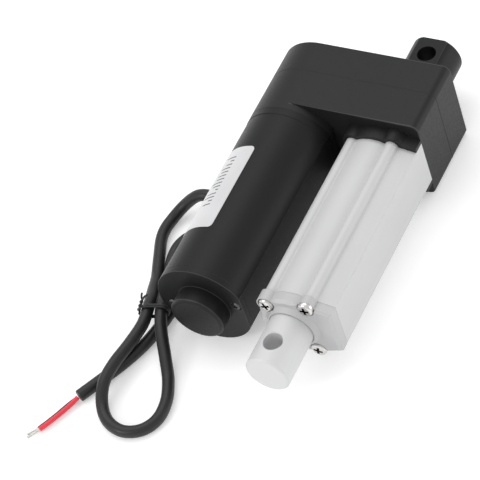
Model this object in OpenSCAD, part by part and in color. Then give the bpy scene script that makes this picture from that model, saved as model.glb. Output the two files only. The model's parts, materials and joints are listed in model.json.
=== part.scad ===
// Linear actuator with a motor beside its push rod, retracted. The frame's origin is the centre of the
// rear pin hole, +Z runs along both pin holes, and the rod points along -Y.

/* [Stroke and pins] */
// Distance between the two pin holes with the rod retracted
pin_distance = 155; // [155:1:175]
// Travel of the push rod
stroke = 50; // [20:1:50]
// Radius of both pin holes
pin_hole_r = 4.1; // [3:0.1:4.5]

/* [Push rod] */
// Radius of the push rod
rod_r = 9.5; // [9.3:0.1:9.6]
// Distance from the front pin hole to the end of the rod
rod_tip = 10.5; // [8:0.5:14]
// Advance of the nut in one turn of the screw
screw_lead = 4; // [3:1:5]

/* [Front cap and profile] */
// Distance from the front pin hole to the face of the cap
cap_gap = 15; // [12:1:18]
// Thickness of the front cap
cap_t = 5; // [4:0.5:7]
// Outer radius of the round part of the profile
tube_r = 14.7; // [14.2:0.1:15.5]
// Bore radius of the profile
bore_r = 12.2; // [12:0.1:12.4]
// Distance of the flat side of the profile from the rod axis
side_x = 19; // [18.5:0.5:21]

/* [Gearbox] */
// Thickness of the gearbox along the rod
box_t = 34; // [34:1:38]
// Half height of the gearbox
box_h = 21; // [20.8:0.1:22]
// Wall thickness of the gearbox
box_wall = 2.5; // [2:0.25:3]
// Distance from the rear pin hole to the rear face of the gearbox
box_gap = 14; // [12:1:18]
// Radius of the rear clevis
clevis_r = 11; // [10:0.5:12]

/* [Motor] */
// Distance of the motor axis from the rod axis
motor_x = 40.5; // [40.5:0.5:40.5]
// Outer radius of the motor cover
cover_r = 20.8; // [20.2:0.1:20.8]
// Distance of the flat side of the motor cover from the motor axis
cover_flat = 18.5; // [18:0.25:19]
// Wall thickness of the motor cover
cover_wall = 1.6; // [1.2:0.1:1.8]
// Radius of the round boss on the motor end cap
boss_r = 11.6; // [10:0.2:13]
// Height of the round boss on the motor end cap
boss_h = 7.6; // [5:0.2:9]

/* [Gears] */
// Module of the gear pair on the motor side
fast_module = 0.8; // [0.8:0.1:0.8]
// Teeth of the motor pinion
motor_teeth = 12; // [12:1:12]
// Teeth of the large idler wheel
idler_teeth = 38; // [38:1:38]
// Module of the gear pair on the screw side
slow_module = 1; // [1:0.1:1]
// Teeth of the small idler wheel
idler_small_teeth = 15; // [15:1:15]
// Teeth of the wheel on the lead screw
screw_teeth = 26; // [26:1:26]

/* [Power cord] */
// Diameter of the power cord
cord_d = 5.2; // [4.6:0.1:5.4]
// Diameter of each wire in the cord
wire_d = 2; // [1.6:0.1:2.2]

/* [Hidden] */
$fn = 64;
eps = 0.01;

// Stations along the rod axis
cap_y = cap_gap - pin_distance;
cap_back = cap_y + cap_t;
box_back = -box_gap;
box_front = box_back - box_t;
parting_y = box_back - 15.5;
rod_end = -pin_distance - rod_tip;
bore_end = cap_y - 3;
pin_chamfer = 0.7;
skirt_front = box_front - 5.5;
collar_front = box_front - 3.3;
cover_front = cap_y + 3;
band_front = collar_front - 3.3;
gasket_t = 0.4;

// Clearances
run = 0.03;

// Profile: screw ports on the left and right, and the switch chamber on the right
left_port = [-9.8, 10.1];
right_port = [8.3, 12.8];
port_r = 3;
cap_port_r = 4.1;
port_hole_r = 1.6;
chamber_x = [13.4, 17.4];
chamber_h = 9.4;
shoulder = [11, 13];
side_h = 11.5;
slot_h = 2;

// Gearbox
box_round = 3.4;
skirt_t = 1.8;
seat_r = 9.5;
seat_boss_r = 11.4;
bearing_w = 6;
bearing_y = [box_front - 1, box_back - 12];
idler_x = -idler_small_teeth * slow_module / 2 - screw_teeth * slow_module / 2;
axle_r = 2.5;
fast_y = [box_front + 6, box_front + 11];
slow_y = [box_front + 11.6, box_front + 19.4];
tooth_steps = 4;
tip_height = 0.8;
root_depth = 1.15;
backlash = 0.16;
box_screws = [[-48, 15.2], [-48, -15.2], [14.2, 15.6], [14.2, -15.6]];

// Motor
can_r = 16.4;
can_wall = 1.2;
can_y = [box_front - 76, box_front - 3];
shaft_r = 2;
magnet_r = 12.9;
core_r = 12.4;
core_y = [box_front - 60, box_front - 16];
mount_r = 9;
band_t = 0.15;
cap_screw_r = 16.1;
cap_screw_angle = 14;
gland_y = -81.5;
gland_z = -8.4;
gland_r = 4.4;
gland_tip_x = -67;

// Lead screw and nut
thread_r = 4.6;
thread_wobble = 0.4;
thread_y = [cap_y + 9, box_front - 6];
nut_y = [box_front - 18, box_front - 6.6];
rings_per_turn = 10;

// Limit switches
tab_x = 15;
tab_y = [nut_y[0] + 3.4, nut_y[1] - 3.4];
plunger_r = 0.9;
plunger_gap = 0.1;
plunger_x = 14.3;
switch_l = 12;
switch_gap = 1.6;
front_switch_y = [tab_y[0] - stroke - switch_l - switch_gap, tab_y[0] - stroke - switch_gap];
rear_switch_y = [tab_y[1] + switch_gap, min(tab_y[1] + switch_gap + switch_l, box_front - 0.5)];

// Label on the motor cover
label_x = -43.3;
label_y = [-116.5, -72.8];
label_t = 0.15;

// Floor that the actuator lies on, and the cord's route on it, from the gland to the cut end
floor_z = -box_h;
flat_z = floor_z + cord_d / 2;
tie_z = flat_z + 6.2;
cord_route = [
    [-67, -81.5, -8.4], [-71.9, -81.6, -8.6], [-76.2, -82.2, -10.6], [-81.5, -84.6, -15.1],
    [-85.3, -90.7, -18.3], [-85.6, -99.3, flat_z], [-82, -109.5, flat_z], [-78, -119.6, flat_z],
    [-74.3, -129.1, flat_z + 3], [-70.7, -138.2, flat_z + 6.2], [-69.1, -147.8, flat_z + 5.9],
    [-70.2, -158.4, flat_z + 5.6], [-71.9, -169.7, flat_z + 5.7], [-72.2, -178.8, flat_z + 4.5],
    [-69.7, -186.9, flat_z + 1], [-64, -192.9, flat_z], [-56.1, -195.3, flat_z], [-48.7, -192.6, flat_z],
    [-44.7, -185.9, flat_z], [-45.2, -176.8, flat_z], [-49, -167.4, flat_z],
    [-54.2, -158.3, flat_z + 2.8], [-59.7, -149.1, flat_z + 5.6], [-64.3, -139.8, flat_z + 6.3],
    [-67.5, -130.4, flat_z + 4.5], [-71.3, -121.4, flat_z + 0.8], [-75.1, -112.1, flat_z],
    [-76, -103, flat_z], [-72.5, -96.1, flat_z], [-65.6, -93.3, flat_z], [-58.7, -96, flat_z],
    [-55.2, -103, flat_z], [-55.8, -112.8, flat_z], [-58.8, -123, flat_z], [-63.2, -133, flat_z],
    [-64.8, -143.3, flat_z], [-67.2, -153.7, flat_z], [-71.4, -164.3, flat_z], [-76.6, -174.3, flat_z],
    [-82.2, -184.6, flat_z]
];
tie_place = [-67.1, -140.7, tie_z + 0.15];
tie_turn = 16;
tie_half = 3.05;
tie_gap = 0.45;
tie_t = 0.6;

// Twisted ends of the tie, seen from its own centre
tie_root = [-6.6, 0, 0.3];
tie_fork = [-4, 1.9, 5.6];
tie_ends = [[-3.6, 3.2, 8.1], [-1.2, 2.1, 8.1]];

// Wires beyond the cut end, and their bare strands
wire_drop = wire_d / 2 + floor_z;
red_lift = 1.4;
red_route = [[-82, -185.6, flat_z + 0.7], [-83.1, -188.3, flat_z + 0.2], [-84.5, -191.1, wire_drop + red_lift],
    [-86.2, -195, wire_drop + red_lift], [-88.3, -199.4, wire_drop + red_lift],
    [-90.8, -204, wire_drop + red_lift]];
black_route = [[-83, -184.9, flat_z - 1.1], [-84.6, -187.2, wire_drop + 0.1], [-86, -190, wire_drop],
    [-87.6, -193.8, wire_drop], [-89.7, -198.2, wire_drop], [-92.2, -203, wire_drop]];
red_tip = [-94.7, -208.3, floor_z + 1.1];
black_tip = [-95.6, -206.9, floor_z + 0.7];

// Leads inside the casing
lead_d = 1.5;
lead_r = 17.75;
switch_route = [
    for (a = [205:19:300]) [-motor_x + lead_r * cos(a), -80 + (a - 205) * 0.24, lead_r * sin(a)],
    [-31.6, -54, -15.4], [-31.6, -47.5, -15.4], [-29.5, -44.3, -15.6], [-24, -44.2, -17], [-14, -44.2, -17.2],
    [-4, -44.2, -17], [1.5, -43, -15.6], [6, -41, -12.6], [10, -40.4, -9.6], [13.6, -41.4, -7.6],
    [15, -45, -7], [15, -51, -7]
];

// ---------- Shared shapes ----------

module along_y(y0, y1) {
    translate([0, y1, 0]) rotate([90, 0, 0]) linear_extrude(height = y1 - y0) children();
}

module rod_y(x, z, r, y0, y1) {
    translate([x, y1, z]) rotate([90, 0, 0]) cylinder(r = r, h = y1 - y0);
}

module cone_y(x, z, r0, r1, y0, y1) {
    translate([x, y0, z]) rotate([-90, 0, 0]) cylinder(r1 = r0, r2 = r1, h = y1 - y0);
}

module tube_y(x, z, ro, ri, y0, y1) {
    difference() {
        rod_y(x, z, ro, y0, y1);
        rod_y(x, z, ri, y0 - 1, y1 + 1);
    }
}

module mirrored_z() {
    children();
    mirror([0, 0, 1]) children();
}

// Screw along Y: its head's seat is at y, the head points along -Y times dir
module screw_y(x, z, y, dir, r, l, head_r, head_h) {
    translate([x, y, z]) rotate([dir > 0 ? 90 : -90, 0, 0]) difference() {
        union() {
            cylinder(r = head_r, h = head_h * 0.55);
            translate([0, 0, head_h * 0.55]) cylinder(r1 = head_r, r2 = head_r * 0.62, h = head_h * 0.45);
            translate([0, 0, -l]) cylinder(r = r, h = l);
        }
        translate([0, 0, head_h - head_r * 0.3]) {
            translate([-head_r * 0.5, -head_r * 0.11, 0]) cube([head_r, head_r * 0.22, head_r]);
            translate([-head_r * 0.11, -head_r * 0.5, 0]) cube([head_r * 0.22, head_r, head_r]);
        }
    }
}

// ---------- Gears ----------

function polar(r, a) = [r * cos(a), r * sin(a)];
function inv_angle(r, rb) = r <= rb ? 0 : let (t = sqrt(pow(r / rb, 2) - 1)) t * 180 / PI - atan(t);
function gear_r(m, teeth) = m * teeth / 2;

// Points of one tooth, from its root on one side to its root on the other
function tooth(m, teeth) = let (
    rp = gear_r(m, teeth), rb = rp * cos(20), ra = rp + tip_height * m, rr = rp - root_depth * m,
    half = 90 / teeth + inv_angle(rp, rb) - backlash / rp * 90 / PI,
    start = max(rr, rb),
    radii = [rr, for (i = [0:tooth_steps]) start + (ra - start) * i / tooth_steps],
    flank = [for (r = radii) [r, half - inv_angle(r, rb)]]
) concat([for (p = flank) [p[0], -p[1]]], [for (i = [len(flank) - 1:-1:0]) flank[i]]);

module gear_shape(m, teeth, turn = 0) {
    outline = tooth(m, teeth);
    polygon([for (i = [0:teeth - 1]) for (p = outline) polar(p[0], p[1] + turn + i * 360 / teeth)]);
}

// ---------- Swept tubes: the cord, the wires and the screw thread ----------

function unit(v) = v / norm(v);
function ring_axis(path, i) = unit(path[min(i + 1, len(path) - 1)] - path[max(i - 1, 0)]);
function spline(a, b, c, d, t) = 0.5 * (2 * b + (c - a) * t + (2 * a - 5 * b + 4 * c - d) * t * t
    + (3 * b - a - 3 * c + d) * t * t * t);
function smooth(points, n) = let (last = len(points) - 1) [for (i = [0:last - 1]) for (k = [0:n - 1])
    spline(points[max(i - 1, 0)], points[i], points[i + 1], points[min(i + 2, last)], k / n),
    points[last]];

// Smooth line through the points, lifted to the floor where it would dip below it
function laid(points, n) = [for (p = smooth(points, n)) [p[0], p[1], max(p[2], flat_z)]];

// Closed tube from rings of points: every ring has the same number of sides
module skin(rings) {
    n = len(rings[0]);
    last = len(rings) - 1;
    polyhedron(
        points = [for (ring = rings) for (p = ring) p],
        faces = concat(
            [[for (j = [0:n - 1]) j]],
            [for (i = [0:last - 1]) for (j = [0:n - 1])
                [i * n + j, (i + 1) * n + j, (i + 1) * n + (j + 1) % n, i * n + (j + 1) % n]],
            [[for (j = [n - 1:-1:0]) last * n + j]]
        )
    );
}

// A ring around each path point, upright, so that the tube lies level on the floor
module tube_path(path, d, sides = 10) {
    skin([for (i = [0:len(path) - 1]) let (
        t = ring_axis(path, i),
        flat = norm([t[0], t[1]]) > 0.05 ? unit([t[1], -t[0], 0]) : [1, 0, 0],
        up = cross(flat, t)
    ) [for (j = [0:sides - 1]) let (a = 360 * (j + 0.5) / sides)
        path[i] + d / 2 * (cos(a) * flat + sin(a) * up)]]);
}

// Round thread: a circle that wobbles around the axis once per turn
module thread(r, wobble, y0, y1, sides) {
    turns = (y1 - y0) / screw_lead;
    n = ceil(turns * rings_per_turn);
    skin([for (i = [0:n]) let (y = y0 + (y1 - y0) * i / n, phase = 360 * y / screw_lead)
        [for (j = [0:sides - 1]) let (a = 360 * j / sides)
            [wobble * sin(phase) + r * sin(a), y, wobble * cos(phase) + r * cos(a)]]]);
}

// ---------- Gearbox ----------

module box_outline(inset = 0) {
    r = max(box_round - inset, 0.6);
    x1 = side_x - inset;
    h = box_h - inset;
    translate([-motor_x, 0]) circle(r = h, $fn = 96);
    translate([-motor_x, -h]) square([motor_x + x1 - r, 2 * h]);
    translate([-motor_x, -h + r]) square([motor_x + x1, 2 * h - 2 * r]);
    for (side = [-1, 1]) translate([x1 - r, side * (h - r)]) circle(r = r);
}

module motor_outline(r, flat) {
    intersection() {
        circle(r = r, $fn = 96);
        translate([-r - 1, -r - 1]) square([r + 1 + flat, 2 * r + 2]);
    }
}

module profile_outline(grow = 0) {
    circle(r = tube_r + grow, $fn = 96);
    for (side = [-1, 1]) {
        translate([left_port[0], side * left_port[1]]) circle(r = port_r + grow);
        translate([right_port[0], side * right_port[1]]) circle(r = port_r - 0.1 + grow);
    }
    polygon([[0, shoulder[1] + grow], [shoulder[0], shoulder[1] + grow], [side_x, side_h + grow],
        [side_x, -side_h - grow], [shoulder[0], -shoulder[1] - grow], [0, -shoulder[1] - grow]]);
}

module box_screw_posts(y0, y1, r) {
    for (p = box_screws) rod_y(p[0], p[1], r, y0, y1);
}

module gear_housing() {
    color([0.17, 0.17, 0.18]) difference() {
        union() {
            difference() {
                along_y(box_front, parting_y - gasket_t) box_outline();
                along_y(box_front + box_wall, parting_y + 1) box_outline(box_wall);
            }
            intersection() {
                along_y(box_front, parting_y - gasket_t) box_outline(1);
                box_screw_posts(box_front + 1, parting_y - gasket_t, 3.6);
            }
            along_y(skirt_front, box_front + 1) intersection() {
                profile_outline(skirt_t);
                translate([-30, -box_h]) square([30 + side_x, 2 * box_h]);
            }
            translate([-motor_x, 0, 0]) along_y(collar_front, box_front + 1)
                motor_outline(box_h, cover_flat + 0.3);
            rod_y(0, 0, seat_boss_r, box_front, bearing_y[0] + bearing_w);
            rod_y(idler_x, 0, axle_r + 2.5, box_front + 1, box_front + 5.2);
        }
        along_y(skirt_front - 1, box_front) profile_outline(0.05);
        translate([-motor_x, 0, 0]) along_y(collar_front - 1, box_front)
            motor_outline(cover_r - 0.9, cover_flat - 0.5);
        rod_y(0, 0, seat_r, bearing_y[0], bearing_y[0] + bearing_w + 1);
        rod_y(0, 0, 6.2, box_front - 8, box_front + 2);
        rod_y(0, 0, bore_r - 1, box_front - 8, box_front - eps);
        rod_y(-motor_x, 0, 6.52, box_front - 1, box_front + box_wall + 1);
        for (a = [0, 180]) translate([-motor_x + mount_r * cos(a), 0, mount_r * sin(a)])
            rod_y(0, 0, 1.6, box_front - 1, box_front + box_wall + 1);
        rod_y(idler_x, 0, axle_r, box_front + 1.2, box_front + 6);
        mirrored_z() {
            rod_y(left_port[0], left_port[1], 1.8, box_front - 8, box_front + 5);
            rod_y(right_port[0], right_port[1], 1.8, box_front - 8, box_front + 5);
        }
        box_screw_posts(parting_y - 12, parting_y + 1, 1.45);
        rod_y(-31.6, -15.4, 1.6, box_front - 8, box_front + 5);
        rod_y(15, -7, 1.6, box_front - 1, box_front + 5);
    }
}

module rear_cover() {
    color([0.17, 0.17, 0.18]) difference() {
        union() {
            difference() {
                along_y(parting_y, box_back) box_outline();
                along_y(parting_y - 1, box_back - 3) box_outline(box_wall);
            }
            intersection() {
                along_y(parting_y, box_back) box_outline(1);
                box_screw_posts(parting_y, box_back - 1, 3.6);
            }
            rod_y(0, 0, seat_boss_r, bearing_y[1] - 0.5, box_back - 1);
            rod_y(idler_x, 0, axle_r + 2.5, box_back - 7, box_back - 1);
        }
        rod_y(0, 0, seat_r, bearing_y[1] - 2, bearing_y[1] + bearing_w);
        rod_y(0, 0, 6, bearing_y[1], box_back - 3);
        rod_y(0, 0, 3.1, box_back - 5, box_back + 1);
        translate([-5, box_back - 1.5, -5]) cube([10, 3, 10]);
        rod_y(idler_x, 0, axle_r, box_back - 8, box_back - 1.6);
        box_screw_posts(parting_y - 1, box_back + 1, 1.6);
        box_screw_posts(box_back - 2.2, box_back + 1, 3.1);
    }
}

module cover_gasket() {
    color([0.08, 0.08, 0.08]) difference() {
        along_y(parting_y - gasket_t, parting_y) box_outline(0.4);
        along_y(parting_y - gasket_t - 1, parting_y + 1) box_outline(box_wall - 0.1);
    }
}

module cover_screws() {
    color([0.35, 0.35, 0.36]) for (p = box_screws)
        screw_y(p[0], p[1], box_back - 2.2, -1, 1.4, 24, 2.8, 1.8);
}

module rear_clevis() {
    flat = 9;
    color([0.13, 0.13, 0.14]) difference() {
        union() {
            intersection() {
                union() {
                    rod_y(0, 0, clevis_r, box_back, clevis_r - 3.3);
                    cone_y(0, 0, clevis_r, clevis_r - 0.8, clevis_r - 3.3, clevis_r - 2.5);
                }
                translate([-20, box_back - 1, -flat]) cube([40, 40, 2 * flat]);
            }
            translate([-4.95, box_back - 1.45, -4.95]) cube([9.9, 2, 9.9]);
        }
        cylinder(r = pin_hole_r, h = 40, center = true);
        rod_y(0, 0, 2.6, box_back - 5, box_back + 7);
    }
}

module clevis_screw() {
    color([0.45, 0.45, 0.46]) difference() {
        union() {
            rod_y(0, 0, 2.55, box_back - 3.2, box_back + 6);
            rod_y(0, 0, 5, box_back - 5.6, box_back - 3);
        }
        rod_y(0, 0, 2.2, box_back - 6, box_back - 4.2);
    }
}

// ---------- Profile and front cap ----------

module tube_profile() {
    color([0.82, 0.83, 0.84]) difference() {
        union() {
            along_y(cap_back, box_front) profile_outline();
            rod_y(0, 0, tube_r + 0.02, cap_back, box_front);
        }
        rod_y(0, 0, bore_r, cap_back - 1, box_front + 1);
        mirrored_z() for (p = [left_port, right_port])
            rod_y(p[0], p[1], port_hole_r, cap_back - 1, box_front + 1);
        translate([chamber_x[0], cap_back - 1, -chamber_h])
            cube([chamber_x[1] - chamber_x[0], box_front - cap_back + 2, 2 * chamber_h]);
        translate([bore_r - 2, cap_back - 1, -slot_h])
            cube([chamber_x[0] - bore_r + 3, box_front - cap_back + 2, 2 * slot_h]);
    }
}

module profile_screws() {
    color([0.5, 0.5, 0.52]) mirrored_z() {
        screw_y(left_port[0], left_port[1], box_front + box_wall, -1, port_hole_r - 0.05, 12, 2.6, 1.6);
        screw_y(right_port[0], right_port[1], box_front + box_wall, -1, port_hole_r - 0.05, 12, 2.6, 1.6);
    }
}

module front_cap() {
    color([0.78, 0.79, 0.80]) difference() {
        union() {
            along_y(cap_y, cap_back) {
                profile_outline();
                for (side = [-1, 1]) {
                    translate([left_port[0], side * left_port[1]]) circle(r = cap_port_r);
                    translate([right_port[0], side * right_port[1]]) circle(r = cap_port_r - 0.7);
                }
                circle(r = tube_r + 0.3, $fn = 96);
            }
            cone_y(0, 0, 10.3, 11.8, cap_y - 2, cap_y + eps);
        }
        rod_y(0, 0, rod_r + 0.25, cap_y - 3, cap_back + 1);
        rod_y(0, 0, 12, cap_y + 1.2, cap_back + 1);
        mirrored_z() for (p = [left_port, right_port]) {
            rod_y(p[0], p[1], 1.9, cap_y - 1, cap_back + 1);
            rod_y(p[0], p[1], 3.7, cap_y - 1, cap_y + 1.2);
        }
    }
}

module cap_screws() {
    color([0.72, 0.72, 0.73]) mirrored_z() for (p = [left_port, right_port])
        screw_y(p[0], p[1], cap_y + 1.2, 1, port_hole_r - 0.05, 14, 3.4, 2.2);
}

module rod_wiper() {
    color([0.10, 0.10, 0.10]) tube_y(0, 0, 11.95, rod_r + 0.06, cap_y + 1.25, cap_back - 0.1);
}

module rod_bushing() {
    color([0.85, 0.83, 0.76]) tube_y(0, 0, bore_r - 0.02, rod_r + run, cap_back + 0.05, cap_back + 13);
}

// ---------- Motor ----------

module at_motor() {
    translate([-motor_x, 0, 0]) children();
}

module motor_cover() {
    inner = cover_r - cover_wall;
    inner_flat = cover_flat - 1.2;
    color([0.15, 0.15, 0.16]) difference() {
        at_motor() difference() {
            union() {
                along_y(cover_front, collar_front) motor_outline(cover_r, cover_flat);
                along_y(band_front, collar_front) motor_outline(cover_r + band_t, cover_flat + band_t);
                along_y(collar_front - 1, box_front - 0.1) motor_outline(cover_r - 0.95, cover_flat - 0.55);
            }
            along_y(cover_front - 1, box_front + 1) motor_outline(inner, inner_flat);
        }
        translate([gland_tip_x, gland_y, gland_z]) rotate([0, 90, 0]) cylinder(r = gland_r, h = 14);
    }
}

module cap_screw_places() {
    for (a = [cap_screw_angle, cap_screw_angle + 180])
        translate([-motor_x + cap_screw_r * cos(a), 0, cap_screw_r * sin(a)]) children();
}

module motor_end_cap() {
    color([0.15, 0.15, 0.16]) difference() {
        at_motor() difference() {
            union() {
                along_y(cap_y, cover_front) motor_outline(cover_r, cover_flat);
                along_y(cover_front - 1, cover_front + 3)
                    motor_outline(cover_r - cover_wall - 0.05, cover_flat - 1.25);
                rod_y(0, 0, boss_r, cap_y - boss_h + 0.8, cap_y + 1);
                cone_y(0, 0, boss_r - 0.8, boss_r, cap_y - boss_h, cap_y - boss_h + 0.8);
            }
            rod_y(0, 0, boss_r - 2, cap_y - boss_h + 2, cover_front + 4);
            along_y(cover_front, cover_front + 4) motor_outline(cover_r - cover_wall - 5, cover_flat - 5);
        }
        cap_screw_places() {
            rod_y(0, 0, 1.4, cap_y - 1, cover_front + 4);
            rod_y(0, 0, 2.2, cap_y - 1, cap_y + 1);
        }
    }
}

module motor_cap_screws() {
    color([0.30, 0.30, 0.31]) cap_screw_places() screw_y(0, 0, cap_y + 1, 1, 1.3, 6, 2, 1.4);
}

module motor_can() {
    color([0.55, 0.56, 0.58]) at_motor() tube_y(0, 0, can_r, can_r - can_wall, can_y[0], can_y[1]);
}

module motor_front_plate() {
    color([0.60, 0.61, 0.62]) at_motor() difference() {
        union() {
            rod_y(0, 0, can_r, can_y[1], box_front);
            rod_y(0, 0, 6.5, box_front - 1, box_front + box_wall + 0.8);
        }
        rod_y(0, 0, 4, can_y[1] - 1, box_front + 6);
        for (a = [0, 180]) translate([mount_r * cos(a), 0, 0]) rod_y(0, 0, 1.4, can_y[1] - 1, box_front + 1);
    }
}

module motor_mount_screws() {
    color([0.5, 0.5, 0.52]) at_motor() for (a = [0, 180])
        screw_y(mount_r * cos(a), 0, box_front + box_wall, -1, 1.35, 5, 2.4, 1.4);
}

module motor_magnets() {
    color([0.22, 0.22, 0.23]) at_motor() for (side = [0, 180]) rotate([0, side, 0])
        intersection() {
            tube_y(0, 0, can_r - can_wall - 0.02, magnet_r, core_y[0] - 3, core_y[1] + 3);
            translate([-30, core_y[0] - 10, 5]) cube([60, core_y[1] - core_y[0] + 20, 30]);
        }
}

module brush_plate() {
    color([0.12, 0.12, 0.12]) at_motor() difference() {
        union() {
            rod_y(0, 0, can_r, can_y[0] - 3, can_y[0]);
            rod_y(0, 0, can_r - can_wall - 0.1, can_y[0] - 1, can_y[0] + 9);
            rod_y(0, 0, 6.5, can_y[0] - 6, can_y[0] - 2);
        }
        rod_y(0, 0, 4, can_y[0] - 7, can_y[0] + 3);
        rod_y(0, 0, 8, can_y[0] + 1, can_y[0] + 10);
        translate([-12.1, can_y[0] + 2.9, -2.1]) cube([24.2, 4.2, 4.2]);
    }
}

module motor_brushes() {
    color([0.25, 0.22, 0.20]) at_motor() for (side = [0, 180]) rotate([0, side, 0]) difference() {
        translate([4, can_y[0] + 3, -2]) cube([7.5, 4, 4]);
        rod_y(0, 0, 5.1, can_y[0], can_y[0] + 10);
    }
}

module front_bush() {
    color([0.72, 0.55, 0.30]) at_motor() tube_y(0, 0, 4, shaft_r + run, box_front - 3, box_front + 3);
}

module rear_bush() {
    color([0.72, 0.55, 0.30]) at_motor() tube_y(0, 0, 4, shaft_r + run, can_y[0] - 6, can_y[0] + 0.5);
}

module rotor_shaft() {
    color([0.70, 0.71, 0.72]) at_motor() rod_y(0, 0, shaft_r, can_y[0] - 7, fast_y[1] + 1);
}

module armature_core() {
    poles = 5;
    color([0.45, 0.45, 0.46]) at_motor() difference() {
        along_y(core_y[0], core_y[1]) difference() {
            circle(r = core_r, $fn = 96);
            circle(r = shaft_r);
            for (i = [0:poles - 1]) rotate(i * 360 / poles) {
                translate([4.5, 0]) circle(r = 1.6);
                translate([6.8, 0]) circle(r = 2.6);
                translate([9.3, 0]) circle(r = 1.9);
                translate([9, -0.8]) square([6, 1.6]);
            }
        }
    }
}

module armature_windings() {
    poles = 5;
    color([0.72, 0.36, 0.16]) at_motor() {
        for (i = [0:poles - 1]) rotate([0, i * 360 / poles, 0]) {
            rod_y(6.9, 0, 2.2, core_y[0] - 3, core_y[1] + 3);
        }
        tube_y(0, 0, 9.2, shaft_r + 0.6, core_y[0] - 3, core_y[0]);
        tube_y(0, 0, 9.2, shaft_r + 0.6, core_y[1], core_y[1] + 3);
    }
}

module commutator() {
    bars = 5;
    color([0.78, 0.48, 0.26]) at_motor() difference() {
        tube_y(0, 0, 5, shaft_r, can_y[0] + 1.5, can_y[0] + 9);
        for (i = [0:bars - 1]) rotate([0, i * 360 / bars, 0])
            translate([3.6, can_y[0], -0.25]) cube([3, 12, 0.5]);
    }
}

module motor_pinion() {
    color([0.75, 0.70, 0.50]) at_motor() difference() {
        along_y(fast_y[0] - 0.4, fast_y[1] + 0.4) gear_shape(fast_module, motor_teeth, 180 / motor_teeth);
        rod_y(0, 0, shaft_r, fast_y[0] - 2, fast_y[1] + 2);
    }
}

// ---------- Gear train ----------

module idler_axle() {
    color([0.70, 0.71, 0.72]) rod_y(idler_x, 0, axle_r - 0.01, box_front + 1.3, box_back - 1.7);
}

module idler_gear() {
    color([0.90, 0.89, 0.84]) translate([idler_x, 0, 0]) difference() {
        union() {
            along_y(fast_y[0], fast_y[1]) gear_shape(fast_module, idler_teeth);
            along_y(fast_y[1] - 0.5, slow_y[1]) gear_shape(slow_module, idler_small_teeth);
            rod_y(0, 0, 5, box_front + 5.3, slow_y[1] + 1);
        }
        rod_y(0, 0, axle_r + run, box_front, box_back);
        for (i = [0:5]) rotate([0, i * 60, 0]) rod_y(11, 0, 2.2, box_front, fast_y[1] + 0.1);
    }
}

module ball_bearing(y) {
    difference() {
        rod_y(0, 0, seat_r - 0.01, y, y + bearing_w);
        rod_y(0, 0, 4.01, y - 1, y + bearing_w + 1);
        for (side = [y - 1, y + bearing_w - 0.5]) tube_y(0, 0, 8, 5.4, side, side + 1.5);
    }
}

module front_bearing() {
    color([0.66, 0.67, 0.69]) ball_bearing(bearing_y[0]);
}

module rear_bearing() {
    color([0.66, 0.67, 0.69]) ball_bearing(bearing_y[1]);
}

module lead_screw() {
    color([0.62, 0.63, 0.65]) {
        thread(thread_r, thread_wobble, thread_y[0], thread_y[1], 18);
        rod_y(0, 0, 5, thread_y[1] - 0.5, bearing_y[0]);
        rod_y(0, 0, 4, bearing_y[0] - 0.5, bearing_y[1] + bearing_w);
    }
}

module screw_gear() {
    color([0.90, 0.89, 0.84]) difference() {
        union() {
            along_y(slow_y[0], slow_y[1]) gear_shape(slow_module, screw_teeth, 180 / screw_teeth);
            rod_y(0, 0, 5.3, slow_y[1] - 1, bearing_y[1]);
        }
        rod_y(0, 0, 4, slow_y[0] - 1, bearing_y[1] + 1);
        for (side = [slow_y[0] - 1, slow_y[1] - 1.5]) tube_y(0, 0, 10.5, 6.5, side, side + 2.5);
    }
}

// ---------- Push rod ----------

module push_rod() {
    color([0.80, 0.81, 0.82]) difference() {
        union() {
            cone_y(0, 0, rod_r - 0.8, rod_r, rod_end, rod_end + 0.8);
            rod_y(0, 0, rod_r, rod_end + 0.8, nut_y[0]);
        }
        rod_y(0, 0, 6, bore_end, nut_y[0] + 1);
        rod_y(0, 0, 7.6, nut_y[0] - 8, nut_y[0] + 1);
        translate([0, -pin_distance, 0]) cylinder(r = pin_hole_r, h = 40, center = true);
        mirrored_z() translate([0, -pin_distance, rod_r - pin_chamfer])
            cylinder(r1 = pin_hole_r, r2 = pin_hole_r + pin_chamfer, h = pin_chamfer);
    }
}

module lead_nut() {
    color([0.93, 0.92, 0.88]) difference() {
        union() {
            rod_y(0, 0, bore_r - 0.25, nut_y[0], nut_y[1]);
            rod_y(0, 0, 7.58, nut_y[0] - 7.9, nut_y[0] + 0.5);
            translate([bore_r - 3, tab_y[0], -slot_h + 0.3])
                cube([tab_x - bore_r + 3, tab_y[1] - tab_y[0], 2 * slot_h - 0.6]);
        }
        thread(thread_r + 0.2, thread_wobble, nut_y[0] - 9, nut_y[1] + 1, 18);
    }
}

// ---------- Limit switches ----------

module limit_board() {
    color([0.10, 0.30, 0.16]) translate([chamber_x[1] - 1.3, front_switch_y[0] - 4, -chamber_h + 0.5])
        cube([1.2, box_front - 1 - front_switch_y[0] + 4, 2 * chamber_h - 1]);
}

module limit_switch(y0, y1, back) {
    difference() {
        translate([chamber_x[0] + 0.1, y0, -3]) cube([chamber_x[1] - chamber_x[0] - 1.4, y1 - y0, 8]);
        rod_y(plunger_x, 0, plunger_r + 0.05, back ? y0 - 1 : y1 - 4, back ? y0 + 4 : y1 + 1);
    }
}

module front_switch() {
    color([0.20, 0.20, 0.22]) limit_switch(front_switch_y[0], front_switch_y[1], false);
}

module rear_switch() {
    color([0.20, 0.20, 0.22]) limit_switch(rear_switch_y[0], rear_switch_y[1], true);
}

module front_plunger() {
    color([0.80, 0.20, 0.15]) rod_y(plunger_x, 0, plunger_r, front_switch_y[1] - 2.8,
        tab_y[0] - stroke - plunger_gap);
}

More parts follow.
